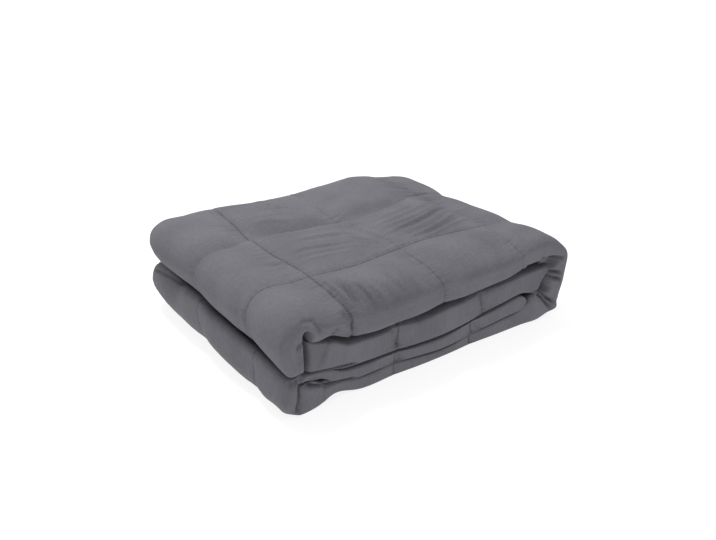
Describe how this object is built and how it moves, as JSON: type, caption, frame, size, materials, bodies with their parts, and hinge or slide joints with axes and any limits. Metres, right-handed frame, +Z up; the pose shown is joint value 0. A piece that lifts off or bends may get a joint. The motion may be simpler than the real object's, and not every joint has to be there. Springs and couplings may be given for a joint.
{
  "type": "weighted blanket",
  "caption": "Grey quilted weighted blanket, folded in thirds and then in four into a thick rectangular stack with rolled front edges and soft square quilting.",
  "frame": {"origin": "on the surface the folded blanket lies on, under the middle of its bounding box", "axes": "+X along the stack's long side, toward the turn that wraps round the free ends; +Y toward the back edge; +Z up"},
  "size_m": [0.4106, 0.3168, 0.1246],
  "materials": {
    "grey_cotton": "matt plain-weave cotton, quilted"
  },
  "bodies": {
    "root": {"blanket": "grey_cotton"}
  },
  "joints": []
}
